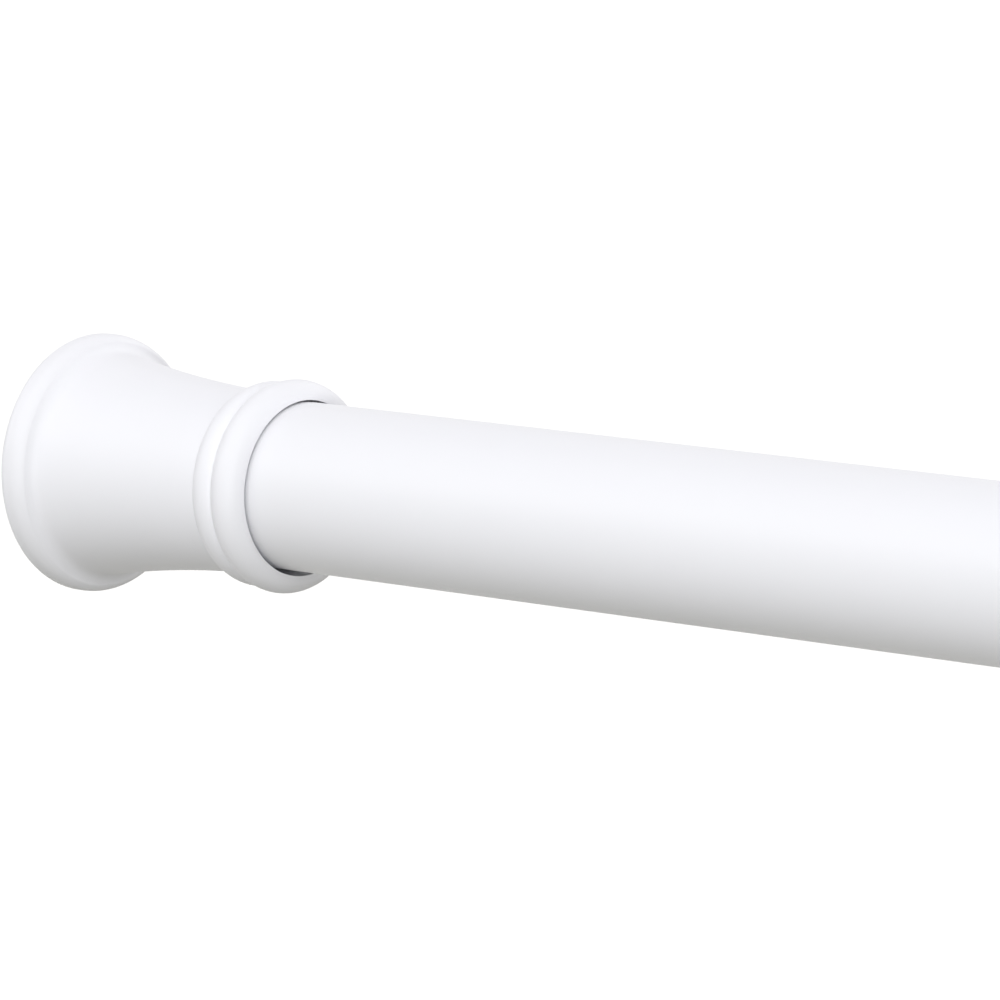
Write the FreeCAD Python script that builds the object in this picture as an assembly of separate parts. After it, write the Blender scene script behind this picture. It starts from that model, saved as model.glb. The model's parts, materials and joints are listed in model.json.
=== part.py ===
"""Spring tension rod with decorative end covers.

The rod lies along +X with +Z up. The origin is the middle of the wide tube's rubber foot, on the
plane that meets the wall. Lengths are in millimetres, and the rod is drawn fully closed.
"""

import FreeCAD, Part
import math
import os

from FreeCAD import Vector

# The rod as a whole
EXTENSION = 711.0
SPRING_TRAVEL = 38.0

# The two tubes
WIDE_TUBE_RADIUS = 15.875
TUBE_STEP = 1.5875
TUBE_WALL = 0.6
TUBE_OVERLAP = 113.4

# Dimples that stake each plug into its tube
DIMPLE_RADIUS = 3.0
DIMPLE_DEPTH = 1.0
DIMPLE_COUNT = 4
DIMPLE_ROOM = 0.25

# Foot pads and end plugs
FOOT_THICKNESS = 3.5
FOOT_OVERHANG = 1.5
FOOT_EDGE_ROUND = 0.8
FOOT_GROOVE_COUNT = 3
FOOT_GROOVE_PITCH = 4.0
FOOT_GROOVE_INSET = 3.2
FOOT_GROOVE_WIDTH = 1.6
FOOT_GROOVE_DEPTH = 1.0
FOOT_STUD_RADIUS = 3.0
FOOT_STUD_BARB = 1.2
FOOT_STUD_HEAD_LENGTH = 2.4
PLUG_DISC_THICKNESS = 3.5
PLUG_SPIGOT_LENGTH = 20.0
PLUG_WALL = 2.0
PLUG_RIB_COUNT = 8
PLUG_RIB_WIDTH = 1.6
PLUG_RIB_HEIGHT = 0.5
PRESS_GAP = 0.03

# End cover, measured from its wall face along the rod, with its radii counted from the wide tube's
COVER_SETBACK = 0.5
COVER_DROP = 0.3
LIP_FLARE = 9.0
LIP_WIDTH = 6.6
LIP_BACK_ROUND = 2.2
LIP_FRONT_ROUND = 3.2
NECK_START_FLARE = 5.6
NECK_END = 44.7
NECK_END_FLARE = 1.35
NECK_HOLLOW = 0.75
BEAD_CREST = 47.4
BEAD_CREST_FLARE = 3.5
BEAD_VALLEY_FLARE = 2.5
COLLAR_CENTRE = 53.3
COLLAR_ROUND = 3.6
COLLAR_FLARE = 4.3
LIP_CREASE_ROUND = 2.0
BEAD_CREASE_ROUND = 0.7
MOUTH_ROUND = 0.3
COVER_WALL = 1.7
COVER_BORE_GAP = 0.7
COVER_BORE_STEP = 0.2
COVER_MOUTH_GAP = 1.2
COVER_LAND_LENGTH = 14.0
COVER_MOUTH_LENGTH = 3.0
COVER_BACK_RIM = 1.4
COVER_BACK_RECESS = 2.2
COVER_RIB_COUNT = 6
COVER_RIB_WIDTH = 1.4
COVER_RIB_LENGTH = 14.0
COVER_STOP_GAP = 0.3
COVER_PLAY = 52.6

# Sleeve in the wide tube's mouth
SLEEVE_LENGTH = 30.0
SLEEVE_FLANGE = 1.6
SLEEVE_GAP = 0.09
SLEEVE_SLOT_COUNT = 3
SLEEVE_SLOT_WIDTH = 2.0

# Guide plug in the narrow tube's inner end
GUIDE_FLANGE = 8.0
GUIDE_LENGTH = 24.0
GUIDE_GAP = 0.1
GUIDE_FLUTE_COUNT = 6
GUIDE_FLUTE_RADIUS = 1.4

# Lock: screw, base, wedge nut and three jaws
LOCK_FROM_PLUG = 10.9
SCREW_RADIUS = 4.0
SCREW_FLAT_DEPTH = 0.8
SCREW_COLLAR_RADIUS = 7.0
SCREW_COLLAR_THICKNESS = 3.0
SCREW_LEAD = 3.0
SCREW_TURN = 1.0
SCREW_TIP_ROUND = 1.0
SCREW_TIP_BEYOND_NUT = 7.0
TURNING_GAP = 0.1
FACE_GAP = 0.1
SPRING_STOP_ROOM = 1.0
BASE_THICKNESS = 8.0
BASE_GAP = 0.375
CLIP_THICKNESS = 1.0
CLIP_GROOVE_DEPTH = 0.7
CLIP_STAND = 1.2
CLIP_OPENING_SHARE = 0.75
JAW_COUNT = 3
JAW_LENGTH = 38.0
JAW_ARC = 96.0
JAW_RAMP_ANGLE = 5.0
JAW_THICKNESS = 6.8
JAW_WALL_GAP = 0.05
JAW_TONGUE_WIDTH = 6.0
JAW_TONGUE_DEPTH = 3.6
JAW_SLOT_GAP = 0.15
JAW_RIDGE_COUNT = 7
JAW_RIDGE_DEPTH = 0.5
RAMP_GAP = 0.05
NUT_LENGTH = 22.0
NUT_LOBE_GAP = 2.075
NUT_SETBACK = 3.0
BAND_SECTION = 0.8
BAND_INSET = 1.175
BAND_GAP = 0.03
BAND_FROM_BASE = 8.0

# Plunger, spring and spring stop
PLUNGER_GAP = 0.45
PLUNGER_THICKNESS = 6.0
PLUNGER_BOSS_LENGTH = 5.0
STUB_RADIUS = 3.0
STUB_TAIL = 2.4
SPRING_WIRE_RADIUS = 1.25
SPRING_LENGTH = 120.0
SPRING_TURNS = 10
SPRING_SIDE_GAP = 1.4
SPRING_SEAT_GAP = 0.35
SEAT_CHAMFER = 1.0
STOP_THICKNESS = 12.0
STOP_BORE_RADIUS = 3.5

# How far a cutting shape stands past what it cuts
CUT_BEYOND = 1.0

# Radii that follow from the sizes above
NARROW_TUBE_RADIUS = WIDE_TUBE_RADIUS - TUBE_STEP
WIDE_BORE = WIDE_TUBE_RADIUS - TUBE_WALL
NARROW_BORE = NARROW_TUBE_RADIUS - TUBE_WALL
FOOT_RADIUS = WIDE_TUBE_RADIUS + FOOT_OVERHANG
LIP_RADIUS = WIDE_TUBE_RADIUS + LIP_FLARE
NECK_START_RADIUS = WIDE_TUBE_RADIUS + NECK_START_FLARE
NECK_END_RADIUS = WIDE_TUBE_RADIUS + NECK_END_FLARE
BEAD_CREST_RADIUS = WIDE_TUBE_RADIUS + BEAD_CREST_FLARE
BEAD_VALLEY_RADIUS = WIDE_TUBE_RADIUS + BEAD_VALLEY_FLARE
COLLAR_RADIUS = WIDE_TUBE_RADIUS + COLLAR_FLARE
SCREW_FLAT = SCREW_RADIUS - SCREW_FLAT_DEPTH
JAW_INNER_DISTANCE = WIDE_BORE - JAW_THICKNESS
BAND_RADIUS = WIDE_BORE - BAND_INSET
NUT_LOBE_RADIUS = WIDE_BORE - NUT_LOBE_GAP
PLUNGER_RADIUS = NARROW_BORE - PLUNGER_GAP
SPRING_MEAN_RADIUS = NARROW_BORE - SPRING_SIDE_GAP - SPRING_WIRE_RADIUS
SEAT_BOSS_RADIUS = SPRING_MEAN_RADIUS - SPRING_WIRE_RADIUS - SPRING_SEAT_GAP

# Places along the rod that follow from the sizes above
COVER_LENGTH = COLLAR_CENTRE + COLLAR_ROUND
TUBE_START = FOOT_THICKNESS + PLUG_DISC_THICKNESS
SCREW_START = TUBE_START + PLUG_SPIGOT_LENGTH + LOCK_FROM_PLUG
NUT_START = SCREW_START + SCREW_TIP_BEYOND_NUT
JAW_START = NUT_START + NUT_SETBACK
BASE_START = JAW_START + JAW_LENGTH
BASE_END = BASE_START + BASE_THICKNESS
CLIP_START = BASE_START - FACE_GAP - CLIP_THICKNESS
COLLAR_START = BASE_END + FACE_GAP
COLLAR_END = COLLAR_START + SCREW_COLLAR_THICKNESS
GUIDE_FACE = COLLAR_END + SPRING_TRAVEL + SPRING_STOP_ROOM
NARROW_TUBE_START = GUIDE_FACE + GUIDE_FLANGE
GUIDE_END = NARROW_TUBE_START + GUIDE_LENGTH
PLUNGER_START = GUIDE_END + FACE_GAP
PLUNGER_END = PLUNGER_START + PLUNGER_THICKNESS
STUB_END = PLUNGER_END + PLUNGER_BOSS_LENGTH + CLIP_THICKNESS + STUB_TAIL
STOP_START = PLUNGER_END + SPRING_LENGTH
WIDE_TUBE_END = NARROW_TUBE_START + EXTENSION + TUBE_OVERLAP
SLEEVE_END = WIDE_TUBE_END + SLEEVE_FLANGE
CLOSED_LENGTH = SLEEVE_END + COVER_PLAY + SPRING_TRAVEL + COVER_LENGTH + COVER_SETBACK
NARROW_TUBE_END = CLOSED_LENGTH - TUBE_START
RAMP_SLOPE = math.tan(math.radians(JAW_RAMP_ANGLE))
NUT_TRAVEL = SCREW_LEAD * SCREW_TURN
JAW_SPREAD = NUT_TRAVEL * RAMP_SLOPE
DIMPLE_PLACE = 0.6 * PLUG_SPIGOT_LENGTH
GUIDE_DIMPLE_PLACE = NARROW_TUBE_START + 0.5 * GUIDE_LENGTH
STOP_DIMPLE_PLACE = STOP_START + 0.5 * STOP_THICKNESS
BAND_PLACE = BASE_START - BAND_FROM_BASE

X_AXIS = Vector(1, 0, 0)
ORIGIN = Vector(0, 0, 0)


def turned(start, *steps):
    """A solid of revolution about X. A step is a point (x, radius), or an arc's (middle point, end point)."""
    edges = []
    here = start
    for step in steps + (start,):
        if isinstance(step[0], tuple):
            through, end = step
            points = [Vector(x, 0, r) for x, r in (here, through, end)]
            edges.append(Part.Arc(*points).toShape())
        else:
            end = step
            if math.dist(here, end) > 1e-7:
                edges.append(Part.makeLine(Vector(here[0], 0, here[1]), Vector(end[0], 0, end[1])))
        here = end
    return Part.Face(Part.Wire(edges)).revolve(ORIGIN, X_AXIS, 360)


def arc_step(centre, radius, from_angle, to_angle):
    """An arc step for turned(): its middle point and its end, with angles in degrees from +X towards +r."""
    def at(angle):
        turn = math.radians(angle)
        return (centre[0] + radius * math.cos(turn), centre[1] + radius * math.sin(turn))
    return (at((from_angle + to_angle) / 2), at(to_angle))


def rod(start, end, radius):
    return Part.makeCylinder(radius, end - start, Vector(start, 0, 0), X_AXIS)


def pipe(start, end, outer, inner):
    return turned((start, inner), (start, outer), (end, outer), (end, inner))


def block(start, end, low_y, high_y, low_z, high_z):
    return Part.makeBox(end - start, high_y - low_y, high_z - low_z, Vector(start, low_y, low_z))


def slab(half_width, *corners):
    """A prism across the rod, from its corners (x, z)."""
    outline = Part.makePolygon([Vector(x, -half_width, z) for x, z in corners + corners[:1]])
    return Part.Face(outline).extrude(Vector(0, 2 * half_width, 0))


def sector(start, end, radius, arc):
    """A slice of a round bar, spread evenly to both sides of +Z."""
    corners = [(start, 0), (end, 0), (end, radius), (start, radius), (start, 0)]
    face = Part.Face(Part.makePolygon([Vector(x, 0, z) for x, z in corners]))
    face.rotate(ORIGIN, X_AXIS, -arc / 2)
    return face.revolve(ORIGIN, X_AXIS, arc)


def around(shape, count, first_angle=0.0):
    """Copies of a shape, evenly spaced about the rod's axis."""
    copies = []
    for index in range(count):
        copy = shape.copy()
        copy.rotate(ORIGIN, X_AXIS, first_angle + 360.0 * index / count)
        copies.append(copy)
    return copies


def mirrored(shape):
    """The same piece for the other end of the rod."""
    return shape.mirror(Vector(CLOSED_LENGTH / 2, 0, 0), X_AXIS)


def dimpled(tube, radius, places):
    """Presses rings of dimples into a tube's wall, so that they bulge into its bore."""
    centre_radius = radius + DIMPLE_RADIUS - DIMPLE_DEPTH
    for place in places:
        hollow = Part.makeSphere(DIMPLE_RADIUS, Vector(place, 0, centre_radius))
        bulge = Part.makeSphere(DIMPLE_RADIUS + TUBE_WALL, Vector(place, 0, centre_radius))
        reach = DIMPLE_RADIUS + TUBE_WALL
        bulge = bulge.common(rod(place - reach, place + reach, radius - TUBE_WALL / 2))
        tube = tube.fuse(around(bulge, DIMPLE_COUNT)).cut(around(hollow, DIMPLE_COUNT))
    return tube


def dimple_groove(place, bore):
    """The ring cut from a plug where the tube's dimples reach in."""
    half_width = math.sqrt(2 * DIMPLE_RADIUS * (DIMPLE_DEPTH + TUBE_WALL)) + DIMPLE_ROOM
    floor = bore - DIMPLE_DEPTH - DIMPLE_ROOM
    return pipe(place - half_width, place + half_width, bore + CUT_BEYOND, floor)


def wide_tube():
    tube = pipe(TUBE_START, WIDE_TUBE_END, WIDE_TUBE_RADIUS, WIDE_BORE)
    return dimpled(tube, WIDE_TUBE_RADIUS, [TUBE_START + DIMPLE_PLACE])


def narrow_tube():
    tube = pipe(NARROW_TUBE_START, NARROW_TUBE_END, NARROW_TUBE_RADIUS, NARROW_BORE)
    places = [GUIDE_DIMPLE_PLACE, STOP_DIMPLE_PLACE, NARROW_TUBE_END - DIMPLE_PLACE]
    return dimpled(tube, NARROW_TUBE_RADIUS, places)


def foot_pad():
    """Rubber pad with ring grooves in its wall face and a mushroom stud that snaps into the plug."""
    rim = FOOT_RADIUS - FOOT_EDGE_ROUND
    neck_end = FOOT_THICKNESS + PLUG_DISC_THICKNESS
    head_end = neck_end + FOOT_STUD_HEAD_LENGTH
    pad = turned(
        (0, 0),
        (0, rim),
        arc_step((FOOT_EDGE_ROUND, rim), FOOT_EDGE_ROUND, 180, 90),
        (FOOT_THICKNESS, FOOT_RADIUS),
        (FOOT_THICKNESS, FOOT_STUD_RADIUS),
        (neck_end, FOOT_STUD_RADIUS),
        (neck_end, FOOT_STUD_RADIUS + FOOT_STUD_BARB),
        (head_end, FOOT_STUD_RADIUS - FOOT_EDGE_ROUND),
        (head_end, 0),
    )
    half = FOOT_GROOVE_WIDTH / 2
    for index in range(FOOT_GROOVE_COUNT):
        radius = FOOT_RADIUS - FOOT_GROOVE_INSET - index * FOOT_GROOVE_PITCH
        pad = pad.cut(pipe(-CUT_BEYOND, FOOT_GROOVE_DEPTH, radius + half, radius - half))
    return pad


def end_plug(bore):
    """Moulded plug: a disc behind the foot pad and a hollow, ribbed spigot pressed into the tube."""
    skin = bore - PLUG_RIB_HEIGHT
    spigot_end = TUBE_START + PLUG_SPIGOT_LENGTH
    plug = turned(
        (FOOT_THICKNESS, FOOT_STUD_RADIUS + DIMPLE_ROOM),
        (FOOT_THICKNESS, FOOT_RADIUS),
        (TUBE_START, FOOT_RADIUS),
        (TUBE_START, skin),
        (spigot_end - PLUG_RIB_HEIGHT, skin),
        (spigot_end, skin - PLUG_RIB_HEIGHT),
        (spigot_end, skin - PLUG_WALL),
        (TUBE_START, skin - PLUG_WALL),
        (TUBE_START, FOOT_STUD_RADIUS + DIMPLE_ROOM),
    )
    half = PLUG_RIB_WIDTH / 2
    rib = block(TUBE_START, spigot_end - 2 * PLUG_RIB_HEIGHT, -half, half, skin - PLUG_WALL / 2, bore)
    rib = rib.common(rod(TUBE_START, spigot_end, bore - PRESS_GAP))
    plug = plug.fuse(around(rib, PLUG_RIB_COUNT, 180.0 / PLUG_RIB_COUNT))
    return plug.cut(dimple_groove(TUBE_START + DIMPLE_PLACE, bore)).removeSplitter()


def cover_outline(bore_mouth):
    """The cover's outer profile from its wall face to its mouth, as steps for turned()."""
    neck_middle = ((LIP_WIDTH + NECK_END) / 2, (NECK_START_RADIUS + NECK_END_RADIUS) / 2 - NECK_HOLLOW)
    collar_centre = (COLLAR_CENTRE, COLLAR_RADIUS - COLLAR_ROUND)
    valley_angle = 180 - math.degrees(math.asin((BEAD_VALLEY_RADIUS - collar_centre[1]) / COLLAR_ROUND))
    mouth_edge = max(bore_mouth + MOUTH_ROUND, collar_centre[1])
    front_angle = math.degrees(math.asin((mouth_edge - collar_centre[1]) / COLLAR_ROUND))
    return [
        arc_step((LIP_BACK_ROUND, LIP_RADIUS - LIP_BACK_ROUND), LIP_BACK_ROUND, 180, 90),
        (LIP_WIDTH - LIP_FRONT_ROUND, LIP_RADIUS),
        arc_step((LIP_WIDTH - LIP_FRONT_ROUND, LIP_RADIUS - LIP_FRONT_ROUND), LIP_FRONT_ROUND, 90, 0),
        (LIP_WIDTH, NECK_START_RADIUS),
        (neck_middle, (NECK_END, NECK_END_RADIUS)),
        ((BEAD_CREST, BEAD_CREST_RADIUS), (collar_foot(), BEAD_VALLEY_RADIUS)),
        arc_step(collar_centre, COLLAR_ROUND, valley_angle, front_angle),
        (COVER_LENGTH, bore_mouth + MOUTH_ROUND),
        (COVER_LENGTH - MOUTH_ROUND, bore_mouth),
    ]


def collar_foot():
    """Where the cover's collar rises from the valley beside the bead."""
    height = BEAD_VALLEY_RADIUS - COLLAR_RADIUS + COLLAR_ROUND
    return COLLAR_CENTRE - math.sqrt(COLLAR_ROUND ** 2 - height ** 2)


def end_cover(tube_radius):
    """Flared, hollow cover that slides along its tube. Ribs inside stop it on the back of the end plug."""
    bore = tube_radius + COVER_BORE_GAP
    bore_mouth = tube_radius + COVER_MOUTH_GAP
    land_end = COVER_LENGTH - COVER_MOUTH_LENGTH
    land_start = land_end - COVER_LAND_LENGTH
    cavity_start = NECK_START_RADIUS - COVER_WALL
    cavity_end = max(bore + COVER_BORE_STEP, NECK_END_RADIUS - COVER_WALL)
    cavity_middle = ((LIP_WIDTH + land_start) / 2, (cavity_start + cavity_end) / 2 - NECK_HOLLOW / 2)
    rim = LIP_RADIUS - LIP_BACK_ROUND
    recess = rim - COVER_BACK_RIM
    cover = turned(
        (0, rim),
        *cover_outline(bore_mouth),
        (land_end, bore),
        (land_start, bore),
        (land_start, cavity_end),
        (cavity_middle, (LIP_WIDTH, cavity_start)),
        (COVER_BACK_RECESS, cavity_start),
        (COVER_BACK_RECESS, recess),
        (0, recess),
    )
    cover = creases_rounded(cover)
    cover.translate(Vector(COVER_SETBACK, 0, 0))
    rib_start = TUBE_START + COVER_STOP_GAP
    half = COVER_RIB_WIDTH / 2
    rib = block(rib_start, rib_start + COVER_RIB_LENGTH, -half, half, tube_radius, NECK_START_RADIUS)
    rib = rib.cut(rod(0, COVER_LENGTH, bore))
    rib_top = cavity_start + COVER_WALL / 2
    inside = turned((0, 0), (0, rib_top), (LIP_WIDTH, rib_top), (land_start, cavity_end), (land_start, 0))
    rib = rib.common(inside)
    cover = cover.fuse(around(rib, COVER_RIB_COUNT)).removeSplitter()
    cover.translate(Vector(0, 0, -COVER_DROP))
    return cover


def creases_rounded(cover):
    """Rounds the creases where the lip, the bead and the collar rise from the hollows between them."""
    creases = [
        (LIP_WIDTH, NECK_START_RADIUS, LIP_CREASE_ROUND),
        (NECK_END, NECK_END_RADIUS, BEAD_CREASE_ROUND),
        (collar_foot(), BEAD_VALLEY_RADIUS, BEAD_CREASE_ROUND),
    ]
    for place, radius, fillet in creases:
        cover = cover.makeFillet(fillet, ring_edges(cover, place, radius))
    return cover


def ring_edges(shape, place, radius, reach=0.2):
    """A shape's circular edges about X that lie near a place and a radius."""
    found = []
    for edge in shape.Edges:
        curve = edge.Curve
        if isinstance(curve, Part.Circle):
            if math.dist((curve.Center.x, curve.Radius), (place, radius)) < reach:
                found.append(edge)
    return found


def mouth_sleeve():
    """Plastic bushing in the wide tube's mouth, flush with the tube outside and slit inside it."""
    end = SLEEVE_END
    start = WIDE_TUBE_END - SLEEVE_LENGTH
    inner = NARROW_TUBE_RADIUS + SLEEVE_GAP
    round_in = SLEEVE_FLANGE / 2
    sleeve = turned(
        (start, inner),
        (start, WIDE_BORE - PRESS_GAP),
        (WIDE_TUBE_END, WIDE_BORE - PRESS_GAP),
        (WIDE_TUBE_END, WIDE_TUBE_RADIUS),
        (end - round_in, WIDE_TUBE_RADIUS),
        arc_step((end - round_in, WIDE_TUBE_RADIUS - round_in), round_in, 90, 0),
        (end, inner),
    )
    half = SLEEVE_SLOT_WIDTH / 2
    slot = block(start - CUT_BEYOND, WIDE_TUBE_END - SLEEVE_LENGTH / 3, -half, half, 0, WIDE_TUBE_RADIUS)
    return sleeve.cut(around(slot, SLEEVE_SLOT_COUNT))


def flatted(start, end, radius, flat):
    """A round bar with two flats."""
    return rod(start, end, radius).common(block(start, end, -radius, radius, -flat, flat))


def guide_plug():
    """Plug in the narrow tube's inner end. Its flange runs in the wide tube, and its bore keys the screw."""
    flange = rod(GUIDE_FACE, NARROW_TUBE_START, WIDE_BORE - GUIDE_GAP)
    plug = flange.fuse(rod(NARROW_TUBE_START, GUIDE_END, NARROW_BORE - PRESS_GAP))
    flute = Part.makeCylinder(GUIDE_FLUTE_RADIUS, GUIDE_FLANGE, Vector(GUIDE_FACE, 0, WIDE_BORE), X_AXIS)
    bore = flatted(GUIDE_FACE, GUIDE_END, SCREW_RADIUS + TURNING_GAP, SCREW_FLAT + TURNING_GAP)
    plug = plug.cut(around(flute, GUIDE_FLUTE_COUNT)).cut(bore)
    return plug.cut(dimple_groove(GUIDE_DIMPLE_PLACE, NARROW_BORE))


def lock_base():
    """Disc that carries the three jaws in radial slots and turns freely on the screw."""
    base = pipe(BASE_START, BASE_END, WIDE_BORE - BASE_GAP, SCREW_RADIUS + TURNING_GAP)
    half = JAW_TONGUE_WIDTH / 2 + JAW_SLOT_GAP
    floor = JAW_INNER_DISTANCE - JAW_SPREAD - JAW_SLOT_GAP
    slot = block(BASE_START, BASE_START + JAW_TONGUE_DEPTH + JAW_SLOT_GAP, -half, half, floor, WIDE_BORE)
    return base.cut(around(slot, JAW_COUNT))


def lock_jaw():
    """One jaw, relaxed: round and ridged outside, with a flat ramp inside and a tongue for the base."""
    reach = WIDE_BORE - JAW_WALL_GAP
    body = rod(JAW_START, BASE_START - FACE_GAP, reach)
    tongue_half = JAW_TONGUE_WIDTH / 2
    tongue = block(BASE_START - FACE_GAP, BASE_START + JAW_TONGUE_DEPTH, -tongue_half, tongue_half, 0, reach)
    tongue = tongue.common(rod(JAW_START, BASE_END, reach - JAW_SLOT_GAP))
    inner_end = JAW_INNER_DISTANCE
    inner_start = JAW_INNER_DISTANCE + JAW_LENGTH * RAMP_SLOPE
    below = slab(reach, (JAW_START, inner_start), (BASE_START, inner_end), (BASE_END, inner_end),
                 (BASE_END, -reach), (JAW_START, -reach))
    jaw = body.common(sector(JAW_START, BASE_END, reach + CUT_BEYOND, JAW_ARC)).fuse(tongue).cut(below)
    ridge_pitch = JAW_LENGTH / (JAW_RIDGE_COUNT + 1)
    for index in range(JAW_RIDGE_COUNT):
        place = JAW_START + ridge_pitch * (index + 0.5)
        if abs(place - BAND_PLACE) > ridge_pitch / 2:
            jaw = jaw.cut(ridge_groove(place, reach))
    jaw.translate(Vector(0, 0, -JAW_SPREAD))
    half = BAND_SECTION + JAW_SLOT_GAP
    floor = BAND_RADIUS - BAND_SECTION - JAW_SPREAD - BAND_GAP
    return jaw.cut(pipe(BAND_PLACE - half, BAND_PLACE + half, reach + CUT_BEYOND, floor))


def ridge_groove(place, reach):
    """A V groove round the jaw, twice as wide to each side as it is deep."""
    half = 2 * JAW_RIDGE_DEPTH
    floor = reach - JAW_RIDGE_DEPTH
    return turned((place - half, reach), (place, floor), (place + half, reach), (place, reach + CUT_BEYOND))


def jaw_band():
    """Elastic ring that holds the jaws in."""
    return Part.makeTorus(BAND_RADIUS, BAND_SECTION, Vector(BAND_PLACE, 0, 0), X_AXIS)


def wedge_nut():
    """Nut with one flat ramp for each jaw. Turning the screw draws it towards the base."""
    end = NUT_START + NUT_LENGTH
    nut = rod(NUT_START, end, NUT_LOBE_RADIUS)
    def ramp_distance(x):
        return JAW_INNER_DISTANCE + (BASE_START - x) * RAMP_SLOPE - JAW_SPREAD - RAMP_GAP
    top = 2 * NUT_LOBE_RADIUS
    above = slab(top, (NUT_START, ramp_distance(NUT_START)), (end, ramp_distance(end)), (end, top),
                 (NUT_START, top))
    nut = nut.cut(around(above, JAW_COUNT))
    return nut.cut(rod(NUT_START, end, SCREW_RADIUS + TURNING_GAP))


def clip_groove(start, radius):
    floor = radius - CLIP_GROOVE_DEPTH
    return pipe(start - FACE_GAP, start + CLIP_THICKNESS + FACE_GAP, radius + CUT_BEYOND, floor)


def retaining_clip(start, shaft_radius):
    """Open steel clip snapped into a groove."""
    inner = shaft_radius - CLIP_GROOVE_DEPTH + FACE_GAP
    outer = shaft_radius + CLIP_STAND
    clip = pipe(start, start + CLIP_THICKNESS, outer, inner)
    half = CLIP_OPENING_SHARE * inner
    return clip.cut(block(start, start + CLIP_THICKNESS, -half, half, 0, outer))


def lock_screw():
    """Screw blank: threaded end, clip groove, thrust collar, flatted shank and stub for the plunger."""
    tip = SCREW_RADIUS - SCREW_TIP_ROUND
    screw = turned(
        (SCREW_START, 0),
        (SCREW_START, tip),
        (SCREW_START + SCREW_TIP_ROUND, SCREW_RADIUS),
        (COLLAR_START, SCREW_RADIUS),
        (COLLAR_START, SCREW_COLLAR_RADIUS),
        (COLLAR_END, SCREW_COLLAR_RADIUS),
        (COLLAR_END, 0),
    )
    shank = flatted(COLLAR_END, PLUNGER_START, SCREW_RADIUS, SCREW_FLAT)
    stub = rod(PLUNGER_START, STUB_END, STUB_RADIUS)
    screw = screw.fuse([shank, stub]).cut(clip_groove(CLIP_START, SCREW_RADIUS))
    return screw.cut(clip_groove(PLUNGER_END + PLUNGER_BOSS_LENGTH, STUB_RADIUS))


def plunger():
    """Spring seat on the screw's stub. It rests on the guide plug until the rod is squeezed."""
    boss = SEAT_BOSS_RADIUS
    boss_end = PLUNGER_END + PLUNGER_BOSS_LENGTH
    bore = STUB_RADIUS + FACE_GAP
    return turned(
        (PLUNGER_START, bore),
        (PLUNGER_START, PLUNGER_RADIUS),
        (PLUNGER_END, PLUNGER_RADIUS),
        (PLUNGER_END, boss),
        (boss_end - SEAT_CHAMFER, boss),
        (boss_end, boss - SEAT_CHAMFER),
        (boss_end, bore),
    )


def tension_spring():
    """Coil spring between the plunger and the stop, with ends ground flat."""
    pitch = SPRING_LENGTH / SPRING_TURNS
    start = PLUNGER_END - pitch / 4
    length = SPRING_LENGTH + pitch / 2
    helix = Part.makeHelix(pitch, length, SPRING_MEAN_RADIUS)
    circle = Part.makeCircle(SPRING_WIRE_RADIUS, Vector(SPRING_MEAN_RADIUS, 0, 0), Vector(0, 1, 0))
    wire = Part.Wire(helix).makePipeShell([Part.Wire(circle)], True, True)
    wire.rotate(ORIGIN, Vector(0, 1, 0), 90)
    wire.translate(Vector(start, 0, 0))
    return wire.common(rod(PLUNGER_END, STOP_START, 2 * SPRING_MEAN_RADIUS))


def spring_stop():
    """Plug staked inside the narrow tube, which backs the spring."""
    skin = NARROW_BORE - PRESS_GAP
    boss = SEAT_BOSS_RADIUS
    boss_start = STOP_START - PLUNGER_BOSS_LENGTH
    end = STOP_START + STOP_THICKNESS
    stop = turned(
        (boss_start, STOP_BORE_RADIUS),
        (boss_start, boss - SEAT_CHAMFER),
        (boss_start + SEAT_CHAMFER, boss),
        (STOP_START, boss),
        (STOP_START, skin),
        (end, skin),
        (end, STOP_BORE_RADIUS),
    )
    return stop.cut(dimple_groove(STOP_DIMPLE_PLACE, NARROW_BORE))


def pieces():
    jaws = around(lock_jaw(), JAW_COUNT)
    made = {
        "wide_tube": wide_tube(),
        "narrow_tube": narrow_tube(),
        "wide_foot": foot_pad(),
        "narrow_foot": mirrored(foot_pad()),
        "wide_plug": end_plug(WIDE_BORE),
        "narrow_plug": mirrored(end_plug(NARROW_BORE)),
        "wide_cover": end_cover(WIDE_TUBE_RADIUS),
        "narrow_cover": mirrored(end_cover(NARROW_TUBE_RADIUS)),
        "mouth_sleeve": mouth_sleeve(),
        "guide_plug": guide_plug(),
        "lock_base": lock_base(),
        "wedge_nut": wedge_nut(),
        "jaw_band": jaw_band(),
        "lock_screw": lock_screw(),
        "screw_clip": retaining_clip(CLIP_START, SCREW_RADIUS),
        "plunger": plunger(),
        "plunger_clip": retaining_clip(PLUNGER_END + PLUNGER_BOSS_LENGTH, STUB_RADIUS),
        "tension_spring": tension_spring(),
        "spring_stop": spring_stop(),
    }
    for index, jaw in enumerate(jaws):
        made[f"jaw_{index + 1}"] = jaw
    return made


def main():
    os.makedirs("parts", exist_ok=True)
    for name, shape in pieces().items():
        if not shape.isValid() or len(shape.Solids) != 1:
            print("check", name, shape.isValid(), len(shape.Solids))
        shape.Solids[0].exportStep(os.path.join("parts", name + ".step"))
        box = shape.optimalBoundingBox(False, False)
        print(f"{name:16} {shape.Volume:10.1f} mm3  x {box.XMin:8.2f} to {box.XMax:8.2f}  r {box.ZMax:6.2f}")


main()
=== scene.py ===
"""White spring tension rod, seen from the room towards the end cover on the wide tube."""

import json
import math

import bmesh
import bpy
from mathutils import Matrix, Vector

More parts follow.
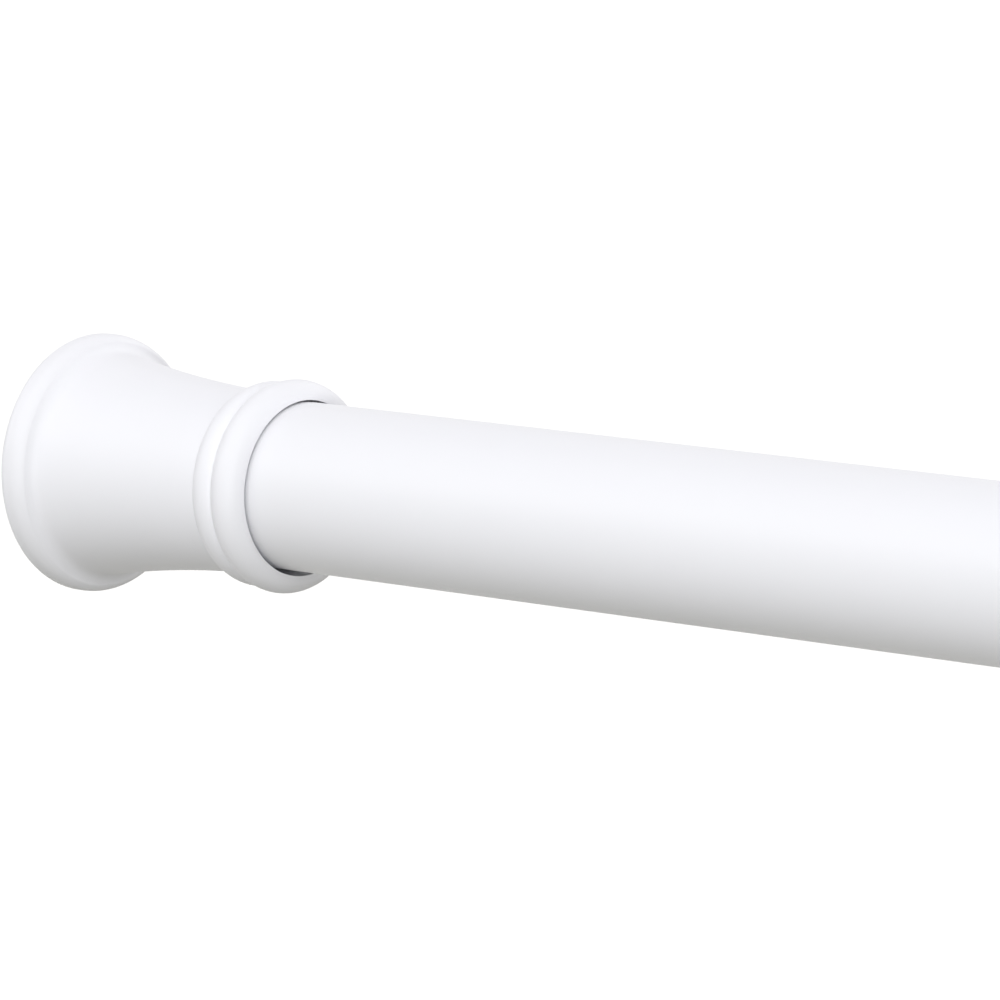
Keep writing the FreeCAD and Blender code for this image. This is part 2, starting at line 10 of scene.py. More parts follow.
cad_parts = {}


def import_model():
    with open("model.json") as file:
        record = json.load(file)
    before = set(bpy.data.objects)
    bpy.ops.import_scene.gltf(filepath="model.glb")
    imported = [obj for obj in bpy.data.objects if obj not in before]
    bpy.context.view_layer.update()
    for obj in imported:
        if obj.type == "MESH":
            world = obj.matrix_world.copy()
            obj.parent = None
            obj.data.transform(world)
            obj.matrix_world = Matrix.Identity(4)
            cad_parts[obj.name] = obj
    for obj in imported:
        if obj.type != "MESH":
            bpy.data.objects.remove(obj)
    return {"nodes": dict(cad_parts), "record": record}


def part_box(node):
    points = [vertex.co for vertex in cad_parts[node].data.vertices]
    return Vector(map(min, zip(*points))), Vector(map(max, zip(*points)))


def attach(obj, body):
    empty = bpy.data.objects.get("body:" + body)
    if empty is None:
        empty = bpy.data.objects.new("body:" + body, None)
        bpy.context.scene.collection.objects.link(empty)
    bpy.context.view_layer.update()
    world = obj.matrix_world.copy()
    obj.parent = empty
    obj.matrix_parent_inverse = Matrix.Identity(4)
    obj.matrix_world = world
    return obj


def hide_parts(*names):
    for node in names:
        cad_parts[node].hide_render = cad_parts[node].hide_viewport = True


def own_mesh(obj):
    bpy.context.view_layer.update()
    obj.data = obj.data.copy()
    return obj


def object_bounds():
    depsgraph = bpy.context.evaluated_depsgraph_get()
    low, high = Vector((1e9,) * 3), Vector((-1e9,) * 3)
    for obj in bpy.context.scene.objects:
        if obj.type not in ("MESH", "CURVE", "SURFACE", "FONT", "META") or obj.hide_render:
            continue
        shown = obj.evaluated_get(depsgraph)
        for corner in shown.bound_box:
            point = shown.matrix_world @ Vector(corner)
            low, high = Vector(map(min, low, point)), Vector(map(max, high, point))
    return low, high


# The named lengths are in millimetres, unless their heading says metres
MM = 0.001

# Camera, fitted to the tube's edges and the cover's outline in the photograph
AZIMUTH = 41.2
ELEVATION = 8.17
LENS = 232.4
SENSOR_WIDTH = 36.0
COVER_FACE_RIGHT = -79.3
COVER_FACE_DOWN = -7.84
COVER_FACE_DEPTH = 1245.5

# Turned shapes and meshes
AROUND = 256
SHARP_ANGLE = math.radians(32)
SAME_POINT = 0.0001
SAME_VERTEX = 0.001

# Tubes
WIDE_TUBE_RADIUS = 15.875
TUBE_STEP = 1.5875
NARROW_TUBE_RADIUS = WIDE_TUBE_RADIUS - TUBE_STEP
TUBE_WALL = 0.6
TUBE_LIP_ROUND = 0.12
DIMPLE_RADIUS = 3.0
DIMPLE_DEPTH = 1.0
DIMPLE_COUNT = 4
DIMPLE_RINGS = 12
DIMPLE_SPARE_RINGS = 2
DIMPLE_FROM_END = 12.0
GUIDE_DIMPLE_FROM_END = 12.0
STOP_DIMPLE_FROM_SPRING = 6.0

# End covers, measured from the wall face along the rod
COVER_DROP = 0.3
LIP_RADIUS = WIDE_TUBE_RADIUS + 9.0
LIP_WIDTH = 6.6
LIP_BACK_ROUND = 2.2
LIP_FRONT_ROUND = 3.2
LIP_CREASE = 2.0
NECK_START_RADIUS = WIDE_TUBE_RADIUS + 5.6
NECK_END = 44.7
NECK_END_RADIUS = WIDE_TUBE_RADIUS + 1.35
NECK_HOLLOW = 0.75
BEAD_CREST = 47.4
BEAD_CREST_RADIUS = WIDE_TUBE_RADIUS + 3.5
BEAD_VALLEY_RADIUS = WIDE_TUBE_RADIUS + 2.5
BEAD_CREASE = 0.7
COLLAR_CENTRE = 53.3
COLLAR_ROUND = 3.6
COLLAR_RADIUS = WIDE_TUBE_RADIUS + 4.3
COLLAR_CENTRE_RADIUS = COLLAR_RADIUS - COLLAR_ROUND
COVER_LENGTH = COLLAR_CENTRE + COLLAR_ROUND
COVER_WALL = 1.7
COVER_MOUTH_BEVEL = 0.3
COVER_MOUTH_GAP = 1.2
COVER_MOUTH_LENGTH = 3.0
COVER_BORE_GAP = 0.7
COVER_BORE_STEP = 0.2
COVER_LAND_LENGTH = 14.0
COVER_BACK_RIM = 1.4
COVER_BACK_RECESS = 2.2
COVER_RIB_COUNT = 6
COVER_RIB_WIDTH = 1.4
COVER_RIB_START = 6.8
COVER_RIB_LENGTH = 14.0
COVER_RIB_TAPER = 0.12

# Spring
SPRING_WIRE_RADIUS = 1.25
SPRING_SIDE_GAP = 1.4
SPRING_MEAN_RADIUS = NARROW_TUBE_RADIUS - TUBE_WALL - SPRING_SIDE_GAP - SPRING_WIRE_RADIUS
SPRING_OPEN_TURNS = 10
SPRING_CLOSED_TURNS = 1
SPRING_TURNS = SPRING_OPEN_TURNS + 2 * SPRING_CLOSED_TURNS
SPRING_CLOSED_PITCH = 2.05 * SPRING_WIRE_RADIUS
SPRING_STEPS = 48
SPRING_SIDES = 16

# The lock's screw
SCREW_RADIUS = 4.0
SCREW_FLAT_DEPTH = 0.8
SCREW_FLAT = SCREW_RADIUS - SCREW_FLAT_DEPTH
SCREW_COLLAR_RADIUS = 7.0
SCREW_COLLAR_THICKNESS = 3.0
SCREW_TIP_BEVEL = 1.0
STUB_RADIUS = 3.0
STUB_CHAMFER = 0.4
CLIP_THICKNESS = 1.0
CLIP_GROOVE_DEPTH = 0.7
FACE_GAP = 0.1

# The screw's thread, with the places on its profile as shares of the lead
THREAD_LEAD = 3.0
THREAD_DEPTH = 0.65
THREAD_RUNOUT = 0.6
THREAD_ROOT_END = 0.42
THREAD_CREST_START = 0.48
THREAD_CREST_END = 0.94
THREAD_STEPS = 48

# Materials
NOISE_MIDDLE = (0.3, 0.7)
TINT_MIDDLE = (0.35, 0.65)
BUMP_STRENGTH = 0.6
LOOKS = {
    "white_paint": dict(
        light=(0.903, 0.905, 0.93), dark=(0.898, 0.90, 0.925), roughness=(0.40, 0.44), specular=0.4,
        patch_scale=40.0, bump_scale=900.0, bump_depth=0.006,
    ),
    "white_gloss": dict(
        light=(0.901, 0.902, 0.928), dark=(0.895, 0.896, 0.922), roughness=(0.46, 0.50), specular=0.4,
        patch_scale=60.0, bump_scale=1100.0, bump_depth=0.006,
    ),
    "white_plastic": dict(
        light=(0.86, 0.86, 0.85), dark=(0.82, 0.82, 0.81), roughness=(0.42, 0.52),
        patch_scale=90.0, bump_scale=2500.0, bump_depth=0.02,
    ),
    "natural_plastic": dict(
        light=(0.80, 0.79, 0.74), dark=(0.74, 0.73, 0.68), roughness=(0.4, 0.5),
        patch_scale=120.0, bump_scale=2500.0, bump_depth=0.02,
    ),
    "grey_rubber": dict(
        light=(0.66, 0.66, 0.65), dark=(0.58, 0.58, 0.57), roughness=(0.7, 0.85),
        patch_scale=150.0, bump_scale=3500.0, bump_depth=0.04,
    ),
    "black_rubber": dict(
        light=(0.03, 0.03, 0.032), dark=(0.018, 0.018, 0.02), roughness=(0.6, 0.75),
        patch_scale=150.0, bump_scale=3500.0, bump_depth=0.03,
    ),
    "steel": dict(
        light=(0.62, 0.61, 0.58), dark=(0.50, 0.50, 0.49), roughness=(0.26, 0.42), metallic=1.0,
        patch_scale=180.0, bump_scale=1800.0, bump_depth=0.02, stretch=(0.1, 1, 1),
    ),
}

# Studio, in metres and watts
FLOOR_DROP = 1.1
FLOOR_SIZE = 60.0
FLOOR_LIGHT = (0.205, 0.20, 0.172)
FLOOR_DARK = (0.195, 0.19, 0.163)
FLOOR_SPECKLE = 3.0
FLOOR_ROUGHNESS = 0.9
FLOOR_GLOW = 0.95
ROOM_COLOUR = (0.985, 0.98, 1.0)
ROOM_STRENGTH = 0.72
LAMP_TARGET = (0.3, 0, 0)
LAMPS = {
    "right_softbox": dict(place=(2.3, -2.85, 2.05), size=(3.0, 1.4), power=27.0, tint=(0.985, 0.987, 1.0)),
    "left_softbox": dict(place=(-1.9, -2.85, 1.7), size=(2.4, 1.6), power=19.5, tint=(0.985, 0.987, 1.0)),
    "front_card": dict(place=(1.9, -2.7, -0.15), size=(2.4, 0.8), power=38.5, tint=(0.96, 0.98, 1.0)),
    "back": dict(place=(0.4, 2.0, 1.15), size=(2.4, 0.8), power=13.0, tint=(1.0, 1.0, 1.0)),
}
VIEW_END = 200.0

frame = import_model()
cad_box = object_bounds()
scene = bpy.context.scene
slots = {part["node"]: part["material_slot"] for part in frame["record"]["subparts"]}


def ends(node):
    """Where a solid starts and ends along the rod, in metres."""
    low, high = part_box(node)
    return low[0], high[0]


# Materials

def material_of(name):
    """A new material, with its node tree and its shader."""
    material = bpy.data.materials.new(name)
    material.use_nodes = True
    tree = material.node_tree
    tree.nodes.clear()
    output = tree.nodes.new("ShaderNodeOutputMaterial")
    shader = tree.nodes.new("ShaderNodeBsdfPrincipled")
    tree.links.new(shader.outputs["BSDF"], output.inputs["Surface"])
    return material, tree, shader


def noise(tree, scale, detail, stretch=(1, 1, 1)):
    coordinates = tree.nodes.new("ShaderNodeTexCoord")
    mapping = tree.nodes.new("ShaderNodeMapping")
    mapping.inputs["Scale"].default_value = stretch
    texture = tree.nodes.new("ShaderNodeTexNoise")
    texture.inputs["Scale"].default_value = scale
    texture.inputs["Detail"].default_value = detail
    tree.links.new(coordinates.outputs["Object"], mapping.inputs["Vector"])
    tree.links.new(mapping.outputs["Vector"], texture.inputs["Vector"])
    return texture.outputs["Fac"]


def between(tree, factor, low, high):
    """A number that runs from low to high over the middle of a noise."""
    spread = tree.nodes.new("ShaderNodeMapRange")
    spread.inputs["From Min"].default_value, spread.inputs["From Max"].default_value = NOISE_MIDDLE
    spread.inputs["To Min"].default_value = low
    spread.inputs["To Max"].default_value = high
    tree.links.new(factor, spread.inputs["Value"])
    return spread.outputs["Result"]


def tinted(tree, factor, light, dark):
    """A colour that runs from dark to light over the middle of a noise."""
    ramp = tree.nodes.new("ShaderNodeValToRGB")
    for stop, position, colour in zip(ramp.color_ramp.elements, TINT_MIDDLE, (dark, light)):
        stop.position = position
        stop.color = (*colour, 1)
    tree.links.new(factor, ramp.inputs["Fac"])
    return ramp.outputs["Color"]


def bumped(tree, shader, height, depth):
    bump = tree.nodes.new("ShaderNodeBump")
    bump.inputs["Strength"].default_value = BUMP_STRENGTH
    bump.inputs["Distance"].default_value = depth * MM
    tree.links.new(height, bump.inputs["Height"])
    tree.links.new(bump.outputs["Normal"], shader.inputs["Normal"])


def surface(name, light, dark, roughness, patch_scale, bump_scale, bump_depth, metallic=0.0, specular=0.5,
            stretch=(1, 1, 1)):
    """A surface whose colour, roughness and relief vary a little, each at its own scale."""
    material, tree, shader = material_of(name)
    patches = noise(tree, patch_scale, detail=4.0, stretch=stretch)
    relief = noise(tree, bump_scale, detail=2.0, stretch=stretch)
    tree.links.new(tinted(tree, patches, light, dark), shader.inputs["Base Color"])
    tree.links.new(between(tree, patches, *roughness), shader.inputs["Roughness"])
    shader.inputs["Metallic"].default_value = metallic
    shader.inputs["Specular IOR Level"].default_value = specular
    bumped(tree, shader, relief, bump_depth)
    return material


FINISHES = {name: surface(name, **look) for name, look in LOOKS.items()}


# Every solid takes its finish, also one that a smoother piece stands for
for node, part in frame["nodes"].items():
    part.data.materials.clear()
    part.data.materials.append(FINISHES[slots[node]])


# Turned shapes. An outline is a closed list of (along, radius) points in millimetres.

def arc(centre, radius, start, end, steps):
    """Points on an arc, with angles in degrees from the rod's direction towards its outside."""
    points = []
    for step in range(steps + 1):
        turn = math.radians(start + (end - start) * step / steps)
        points.append((centre[0] + radius * math.cos(turn), centre[1] + radius * math.sin(turn)))
    return points


def arc_through(start, middle, end, steps):
    """Points on the arc through three points."""
    (ax, ay), (bx, by), (cx, cy) = start, middle, end
    d = 2 * (ax * (by - cy) + bx * (cy - ay) + cx * (ay - by))
    aa, bb, cc = ax * ax + ay * ay, bx * bx + by * by, cx * cx + cy * cy
    x = (aa * (by - cy) + bb * (cy - ay) + cc * (ay - by)) / d
    y = (aa * (cx - bx) + bb * (ax - cx) + cc * (bx - ax)) / d
    first, last = (math.degrees(math.atan2(point[1] - y, point[0] - x)) for point in (start, end))
    while abs(last - first) > 180:
        last += 360 if last < first else -360
    return arc((x, y), math.dist((x, y), start), first, last, steps)


def joined(before, after, reach, steps=8):
    """Two stretches of an outline that meet in a hollow corner, with the corner rounded over a reach."""
    corner = after[0]
    first = [point for point in before if math.dist(point, corner) > reach]
    last = [point for point in after if math.dist(point, corner) > reach]

    def towards(point):
        share = reach / math.dist(corner, point)
        return [c + (p - c) * share for c, p in zip(corner, point)]

    start, end = towards(first[-1]), towards(last[0])
    points = []
    for step in range(steps + 1):
        t = step / steps
        points.append(tuple(
            (1 - t) ** 2 * s + 2 * t * (1 - t) * c + t * t * e for s, c, e in zip(start, corner, end)
        ))
    return first + points + last


def without_doubles(outline):
    points = []
    for point in outline:
        if not points or math.dist(point, points[-1]) > SAME_POINT:
            points.append(point)
    if math.dist(points[0], points[-1]) < SAME_POINT:
        points.pop()
    return points


def placed(name, build, body, node):
    """Makes a piece of a built mesh, with the finish of the node that it stands for."""
    mesh = bpy.data.meshes.new(name)
    bmesh.ops.recalc_face_normals(build, faces=build.faces)
    build.to_mesh(mesh)
    build.free()
    mesh.shade_smooth()
    mesh.set_sharp_from_angle(angle=SHARP_ANGLE)
    piece = bpy.data.objects.new(name, mesh)
    scene.collection.objects.link(piece)
    slot = slots[node]
    mesh.materials.append(FINISHES[slot])
    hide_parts(node)
    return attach(piece, body)


def turned(name, outline, face_x, direction, body, node, shift=None, drop=0.0):
    """A piece turned from an outline that starts at face_x (metres) and runs along direction (+1 or -1).

    The shift is a function of along, radius and turn, and moves single points in or out.
    """
    build = bmesh.new()
    rings = []
    for along, radius in without_doubles(outline):
        x = face_x + direction * along * MM
        ring = []
        for step in range(AROUND if radius > SAME_POINT else 1):
            turn = 2 * math.pi * step / AROUND
            here = radius + (shift(along, radius, turn) if shift else 0.0)
            ring.append(build.verts.new((x, here * math.sin(turn) * MM, (here * math.cos(turn) - drop) * MM)))
        rings.append(ring)
    for ring, following in zip(rings, rings[1:] + rings[:1]):
        if len(ring) == 1 and len(following) == 1:
            continue
        for step in range(AROUND):
            after = (step + 1) % AROUND
            corners = [ring[step % len(ring)], ring[after % len(ring)],
                       following[after % len(following)], following[step % len(following)]]
            build.faces.new(list(dict.fromkeys(corners)))
    placed(name, build, body, node)


# Tubes

def dimple(radius, along, turn, places):
    """How far the dimples move a tube's wall at one point, as 0 or a negative number."""
    deepest = 0.0
    for place in places:
        for index in range(DIMPLE_COUNT):
            beside = turn - 2 * math.pi * index / DIMPLE_COUNT
            gap = (along - place) ** 2 + (radius * math.sin(beside)) ** 2
            if math.cos(beside) > 0 and gap < DIMPLE_RADIUS ** 2:
                pushed = math.sqrt(DIMPLE_RADIUS ** 2 - gap) - (DIMPLE_RADIUS - DIMPLE_DEPTH)
                deepest = max(deepest, pushed)
    return -deepest


def tube(node, radius, places, body):
    """A tube with dimples. Rings stand close together only where the dimples are."""
    start, end = ends(node)
    length = (end - start) / MM
    inner = radius - TUBE_WALL
    stations = {TUBE_LIP_ROUND, length - TUBE_LIP_ROUND, length / 2}
    beyond = DIMPLE_RINGS + DIMPLE_SPARE_RINGS
    for place in places:
        for step in range(-beyond, beyond + 1):
            stations.add(place + step * DIMPLE_RADIUS / DIMPLE_RINGS)
    stations = sorted(stations)
    outline = arc((TUBE_LIP_ROUND, radius - TUBE_LIP_ROUND), TUBE_LIP_ROUND, 180, 90, steps=3)
    outline += [(along, radius) for along in stations]
    outline += arc((length - TUBE_LIP_ROUND, radius - TUBE_LIP_ROUND), TUBE_LIP_ROUND, 90, 0, steps=3)
    outline += [(length, inner)]
    outline += [(along, inner) for along in reversed(stations)]
    outline += [(0.0, inner)]

    def push(along, here, turn):
        return dimple(here, along, turn, places)

    turned(node + "_smooth", outline, start, 1, body, node, shift=push)


spring_start, spring_end = ends("tension_spring")
narrow_start, narrow_end = ends("narrow_tube")
narrow_places = [
    GUIDE_DIMPLE_FROM_END,
    (spring_end - narrow_start) / MM + STOP_DIMPLE_FROM_SPRING,
    (narrow_end - narrow_start) / MM - DIMPLE_FROM_END,
]
tube("wide_tube", WIDE_TUBE_RADIUS, [DIMPLE_FROM_END], "wide_section")
tube("narrow_tube", NARROW_TUBE_RADIUS, narrow_places, "narrow_section")


# End covers

def cover_outside():
    """The outside of a cover from its wall face: lip, neck, bead and collar."""
    valley_turn = 180 - math.degrees(math.asin((BEAD_VALLEY_RADIUS - COLLAR_CENTRE_RADIUS) / COLLAR_ROUND))
    neck_start, neck_end = (LIP_WIDTH, NECK_START_RADIUS), (NECK_END, NECK_END_RADIUS)
    neck_middle = ((LIP_WIDTH + NECK_END) / 2, (NECK_START_RADIUS + NECK_END_RADIUS) / 2 - NECK_HOLLOW)
    lip = arc((LIP_BACK_ROUND, LIP_RADIUS - LIP_BACK_ROUND), LIP_BACK_ROUND, 180, 90, steps=12)
    lip += arc((LIP_WIDTH - LIP_FRONT_ROUND, LIP_RADIUS - LIP_FRONT_ROUND), LIP_FRONT_ROUND, 90, 0, steps=16)
    neck = arc_through(neck_start, neck_middle, neck_end, steps=40)
    collar = arc((COLLAR_CENTRE, COLLAR_CENTRE_RADIUS), COLLAR_ROUND, valley_turn, 0, steps=28)
    bead = arc_through(neck_end, (BEAD_CREST, BEAD_CREST_RADIUS), collar[0], steps=18)
    outside = joined(lip, neck, LIP_CREASE)
    outside = joined(outside, bead, BEAD_CREASE)
    return joined(outside, collar, BEAD_CREASE)


def cover_inside(tube_radius):
    """The inside of a cover from its mouth: the land over the tube, the cavity and the recess in its back."""
    bore = tube_radius + COVER_BORE_GAP
    mouth = tube_radius + COVER_MOUTH_GAP
    recess = LIP_RADIUS - LIP_BACK_ROUND - COVER_BACK_RIM
    land_end = COVER_LENGTH - COVER_MOUTH_LENGTH
    land_start = land_end - COVER_LAND_LENGTH
    cavity_start = NECK_START_RADIUS - COVER_WALL
    cavity_end = max(bore + COVER_BORE_STEP, NECK_END_RADIUS - COVER_WALL)
    cavity_middle = ((LIP_WIDTH + land_start) / 2, (cavity_start + cavity_end) / 2 - NECK_HOLLOW / 2)
    inside = []
    if mouth + COVER_MOUTH_BEVEL < COLLAR_CENTRE_RADIUS:
        inside += [(COVER_LENGTH, mouth + COVER_MOUTH_BEVEL)]
    inside += [(COVER_LENGTH - COVER_MOUTH_BEVEL, mouth), (land_end, bore), (land_start, bore)]
    inside += arc_through((land_start, cavity_end), cavity_middle, (LIP_WIDTH, cavity_start), steps=16)
    inside += [(COVER_BACK_RECESS, cavity_start), (COVER_BACK_RECESS, recess), (0, recess)]
    return inside


def cover_ribs(name, tube_radius, face_x, direction, body, node):
    """The stop ribs inside a cover, let a little into its wall."""
    foot = tube_radius + COVER_BORE_GAP
    wall = NECK_START_RADIUS - COVER_WALL / 2
    far_wall = wall - COVER_RIB_LENGTH * COVER_RIB_TAPER
    start, end = COVER_RIB_START, COVER_RIB_START + COVER_RIB_LENGTH
    corners = [(start, foot), (end, foot), (end, far_wall), (start, wall)]
    build = bmesh.new()
    for index in range(COVER_RIB_COUNT):
        turn = Matrix.Rotation(2 * math.pi * index / COVER_RIB_COUNT, 3, "X")
        sides = []
        for side in (-COVER_RIB_WIDTH / 2, COVER_RIB_WIDTH / 2):
            row = []
            for along, radius in corners:
                x, y, z = turn @ Vector((0, side, radius))
                row.append(build.verts.new((face_x + direction * along * MM, y * MM, (z - COVER_DROP) * MM)))
            sides.append(row)
        left, right = sides
        build.faces.new(left)
        build.faces.new(right[::-1])
        for step in range(len(corners)):
            build.faces.new((left[step - 1], left[step], right[step], right[step - 1]))
    placed(name, build, body, node)


covers = (
    ("wide_cover", WIDE_TUBE_RADIUS, ends("wide_cover")[0], 1),
    ("narrow_cover", NARROW_TUBE_RADIUS, ends("narrow_cover")[1], -1),
)
for node, tube_radius, face_x, direction in covers:
    outline = cover_outside() + cover_inside(tube_radius)
    turned(node + "_smooth", outline, face_x, direction, node + "_body", node, drop=COVER_DROP)
    cover_ribs(node + "_ribs", tube_radius, face_x, direction, node + "_body", node)


# Spring

def coil_place(turn, length):
    """How far along the spring its wire lies after some turns. The end turns are closed up."""
    closed_length = SPRING_WIRE_RADIUS + SPRING_CLOSED_TURNS * SPRING_CLOSED_PITCH
    turns_left = SPRING_TURNS - turn
    if turn < SPRING_CLOSED_TURNS:
        return SPRING_WIRE_RADIUS + turn * SPRING_CLOSED_PITCH
    if turns_left <= SPRING_CLOSED_TURNS:
        return length - SPRING_WIRE_RADIUS - turns_left * SPRING_CLOSED_PITCH
    share = (turn - SPRING_CLOSED_TURNS) / SPRING_OPEN_TURNS
    return closed_length + share * (length - 2 * closed_length)


def spring():
    """The coil, with its ends ground flat."""
    length = (spring_end - spring_start) / MM
    along_rod = Vector((1, 0, 0))
    build = bmesh.new()
    rings = []
    for step in range(SPRING_TURNS * SPRING_STEPS + 1):
        turn = step / SPRING_STEPS
        angle = 2 * math.pi * turn
        outward = Vector((0, math.sin(angle), math.cos(angle)))
        centre = coil_place(turn, length) * along_rod + SPRING_MEAN_RADIUS * outward
        ring = []
        for side in range(SPRING_SIDES):
            lean = 2 * math.pi * side / SPRING_SIDES
            point = centre + SPRING_WIRE_RADIUS * (math.cos(lean) * outward + math.sin(lean) * along_rod)
            ground = min(max(point.x, 0.0), length)
            ring.append(build.verts.new((spring_start + ground * MM, point.y * MM, point.z * MM)))
        rings.append(ring)
    for ring, following in zip(rings, rings[1:]):
        for side in range(SPRING_SIDES):
            build.faces.new((ring[side - 1], ring[side], following[side], following[side - 1]))
    build.faces.new(rings[0])
    build.faces.new(rings[-1])
    piece = placed("tension_spring_coil", build, "narrow_section", "tension_spring")
    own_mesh(piece)


spring()


# Screw

def screw_thread(start, length):
    """The threaded end: a single right-hand thread with a flat crest and root, and a bevelled tip."""
    root = SCREW_RADIUS - THREAD_DEPTH
    tip = SCREW_RADIUS - SCREW_TIP_BEVEL
    profile = (
        (0.0, root),
        (THREAD_ROOT_END, root),
        (THREAD_CREST_START, SCREW_RADIUS),
        (THREAD_CREST_END, SCREW_RADIUS),
    )
    turns = math.ceil(length / THREAD_LEAD) + 2
    build = bmesh.new()
    rows = []
    for step in range(turns * THREAD_STEPS + 1):
        angle = 2 * math.pi * step / THREAD_STEPS
        row = []
        for share, radius in profile:
            along = (step / THREAD_STEPS - 1 + share) * THREAD_LEAD
            if along >= length:
                along, radius = length, root
            along = max(along, 0.0)
            radius = min(radius, tip + along)
            across, up = -radius * math.sin(angle), radius * math.cos(angle)
            row.append(build.verts.new((start + along * MM, across * MM, up * MM)))
        rows.append(row)
    for step, (row, following) in enumerate(zip(rows, rows[1:])):
        for side in range(len(profile) - 1):
            build.faces.new((row[side], following[side], following[side + 1], row[side + 1]))
        if step + 1 + THREAD_STEPS < len(rows):
            beside, beside_following = rows[step + THREAD_STEPS][0], rows[step + 1 + THREAD_STEPS][0]
            build.faces.new((row[-1], following[-1], beside_following, beside))
    bmesh.ops.remove_doubles(build, verts=build.verts, dist=SAME_VERTEX * MM)
    bmesh.ops.holes_fill(build, edges=[edge for edge in build.edges if edge.is_boundary])
    placed("lock_screw_thread", build, "screw", "lock_screw")


def clip_groove(clip_start, radius):
    """The outline of a clip's groove."""
    floor = radius - CLIP_GROOVE_DEPTH
    start, end = clip_start - FACE_GAP, clip_start + CLIP_THICKNESS + FACE_GAP
    return [(start, radius), (start, floor), (end, floor), (end, radius)]


def screw():
    """The lock's screw, with the thread that its solid leaves out."""
    start, end = ends("lock_screw")

    def place(x):
        return (x - start) / MM

    tail = place(end)
    clip = place(ends("screw_clip")[0])
    collar = place(ends("lock_base")[1]) + FACE_GAP
    shank = collar + SCREW_COLLAR_THICKNESS
    stub = place(ends("plunger")[0])
    thread_end = clip - FACE_GAP - THREAD_RUNOUT
    outline = [(thread_end, 0), (thread_end, SCREW_RADIUS)]
    outline += clip_groove(clip, SCREW_RADIUS)
    outline += [(collar, SCREW_RADIUS), (collar, SCREW_COLLAR_RADIUS), (shank, SCREW_COLLAR_RADIUS)]
    outline += [(shank, SCREW_RADIUS), (stub, SCREW_RADIUS), (stub, STUB_RADIUS)]
    outline += clip_groove(place(ends("plunger_clip")[0]), STUB_RADIUS)
    outline += [(tail - STUB_CHAMFER, STUB_RADIUS), (tail, STUB_RADIUS - STUB_CHAMFER), (tail, 0)]

    def flats(along, radius, turn):
        """The two flats on the shank, which start where they cut into its round."""
        facing = abs(math.cos(turn))
        if radius != SCREW_RADIUS or not shank <= along <= stub or facing < SCREW_FLAT / SCREW_RADIUS:
            return 0.0
        return SCREW_FLAT / facing - SCREW_RADIUS

    screw_thread(start, thread_end)
    turned("lock_screw_shank", outline, start, 1, "screw", "lock_screw", shift=flats)


screw()


# Camera

def camera():
    """Stands where the middle of the cover's wall face falls on its place in the photograph."""
    turn, lift = math.radians(AZIMUTH), math.radians(ELEVATION)
    right = Vector((math.cos(turn), math.sin(turn), 0))
    forward = Vector((-math.sin(turn) * math.cos(lift), math.cos(turn) * math.cos(lift), -math.sin(lift)))
    down = forward.cross(right)
    face = Vector((ends("wide_cover")[0], 0, 0))
    place = face - (COVER_FACE_RIGHT * right + COVER_FACE_DOWN * down + COVER_FACE_DEPTH * forward) * MM
    data = bpy.data.cameras.new("camera")
    data.lens = LENS
    data.sensor_width = SENSOR_WIDTH
    data.clip_end = VIEW_END
    eye = bpy.data.objects.new("camera", data)
    scene.collection.objects.link(eye)
    axes = Matrix((right, -down, -forward)).transposed().to_4x4()
    eye.matrix_world = Matrix.Translation(place) @ axes
    scene.camera = eye


camera()


# Studio

def seen_rays(tree):
    """1 for rays from the camera and for what metal and glass show, 0 for diffuse light."""
    path = tree.nodes.new("ShaderNodeLightPath")
    seen = path.outputs["Is Camera Ray"]
    for kind in ("Is Glossy Ray", "Is Transmission Ray"):
        larger = tree.nodes.new("ShaderNodeMath")
        larger.operation = "MAXIMUM"
        tree.links.new(seen, larger.inputs[0])
        tree.links.new(path.outputs[kind], larger.inputs[1])
        seen = larger.outputs[0]
    return seen


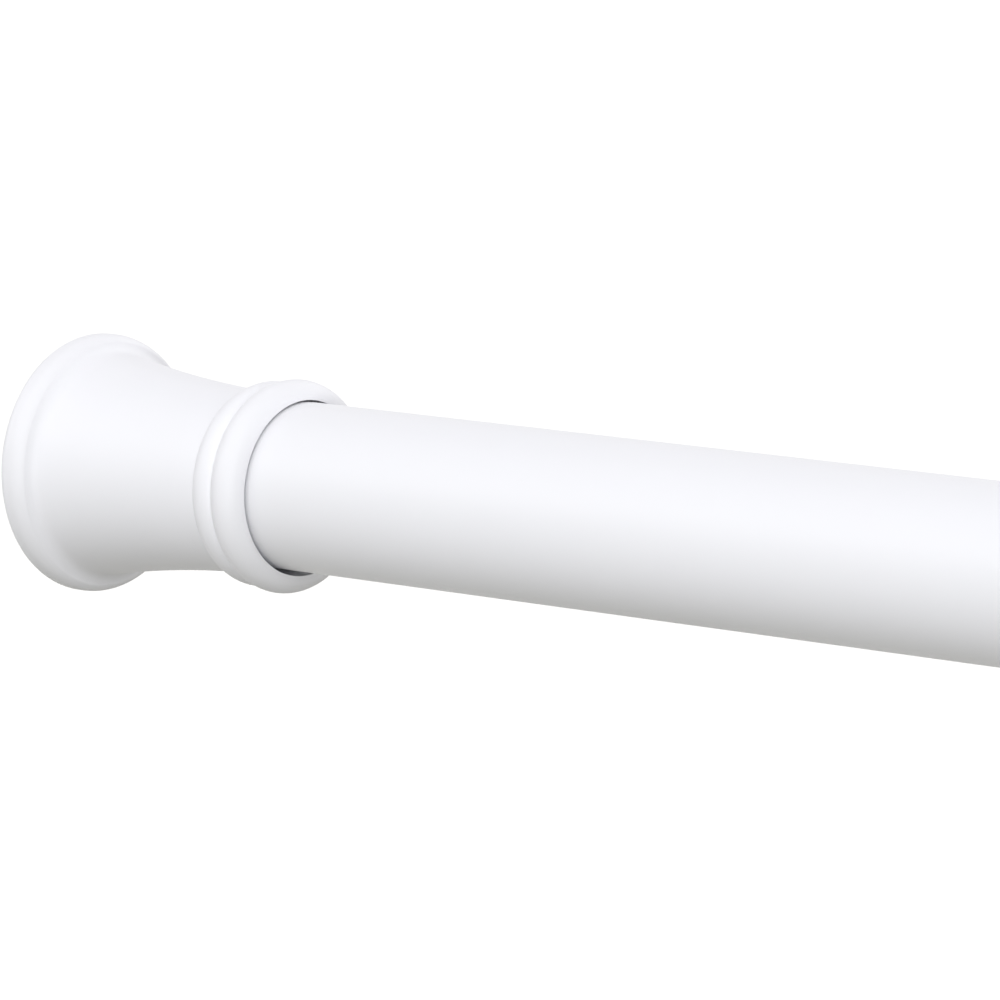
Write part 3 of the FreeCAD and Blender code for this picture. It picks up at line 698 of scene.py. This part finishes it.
def world():
    """White where it is seen, and an even, softly lit room for the object."""
    sky = bpy.data.worlds.new("studio")
    scene.world = sky
    sky.use_nodes = True
    tree = sky.node_tree
    tree.nodes.clear()
    output = tree.nodes.new("ShaderNodeOutputWorld")
    room = tree.nodes.new("ShaderNodeBackground")
    room.inputs["Color"].default_value = (*ROOM_COLOUR, 1)
    room.inputs["Strength"].default_value = ROOM_STRENGTH
    white = tree.nodes.new("ShaderNodeBackground")
    white.inputs["Color"].default_value = (1, 1, 1, 1)
    white.inputs["Strength"].default_value = 1.0
    mix = tree.nodes.new("ShaderNodeMixShader")
    tree.links.new(seen_rays(tree), mix.inputs["Fac"])
    tree.links.new(room.outputs["Background"], mix.inputs[1])
    tree.links.new(white.outputs["Background"], mix.inputs[2])
    tree.links.new(mix.outputs["Shader"], output.inputs["Surface"])


def white_where_seen(tree, base, strength):
    """Adds light for the seen rays alone, so that a dim floor shows as white."""
    glow = tree.nodes.new("ShaderNodeMath")
    glow.operation = "MULTIPLY"
    glow.inputs[1].default_value = strength
    tree.links.new(seen_rays(tree), glow.inputs[0])
    emission = tree.nodes.new("ShaderNodeEmission")
    tree.links.new(glow.outputs[0], emission.inputs["Strength"])
    total = tree.nodes.new("ShaderNodeAddShader")
    tree.links.new(base, total.inputs[0])
    tree.links.new(emission.outputs["Emission"], total.inputs[1])
    return total.outputs["Shader"]


def floor():
    """A dim floor far below the rod, which shows as white where it is seen."""
    half = FLOOR_SIZE / 2
    low = cad_box[0][2] - FLOOR_DROP
    mesh = bpy.data.meshes.new("floor")
    corners = [(-half, -half, low), (half, -half, low), (half, half, low), (-half, half, low)]
    mesh.from_pydata(corners, [], [(0, 1, 2, 3)])
    ground = bpy.data.objects.new("floor", mesh)
    scene.collection.objects.link(ground)
    material, tree, shader = material_of("floor_white")
    speckle = noise(tree, FLOOR_SPECKLE, detail=3.0)
    tree.links.new(tinted(tree, speckle, FLOOR_LIGHT, FLOOR_DARK), shader.inputs["Base Color"])
    shader.inputs["Roughness"].default_value = FLOOR_ROUGHNESS
    shader.inputs["Specular IOR Level"].default_value = 0.0
    seen = white_where_seen(tree, shader.outputs["BSDF"], FLOOR_GLOW)
    tree.links.new(seen, tree.nodes["Material Output"].inputs["Surface"])
    mesh.materials.append(material)


def lamp(name, place, size, power, tint):
    """A rectangular lamp that faces the rod."""
    data = bpy.data.lights.new(name, "AREA")
    data.shape = "RECTANGLE"
    data.size, data.size_y = size
    data.energy = power
    data.color = tint
    source = bpy.data.objects.new(name, data)
    scene.collection.objects.link(source)
    aim = (Vector(LAMP_TARGET) - Vector(place)).to_track_quat("-Z", "Y")
    source.matrix_world = Matrix.Translation(place) @ aim.to_matrix().to_4x4()


world()
floor()
for name, settings in LAMPS.items():
    lamp(name, **settings)

scene.view_settings.view_transform = "Standard"
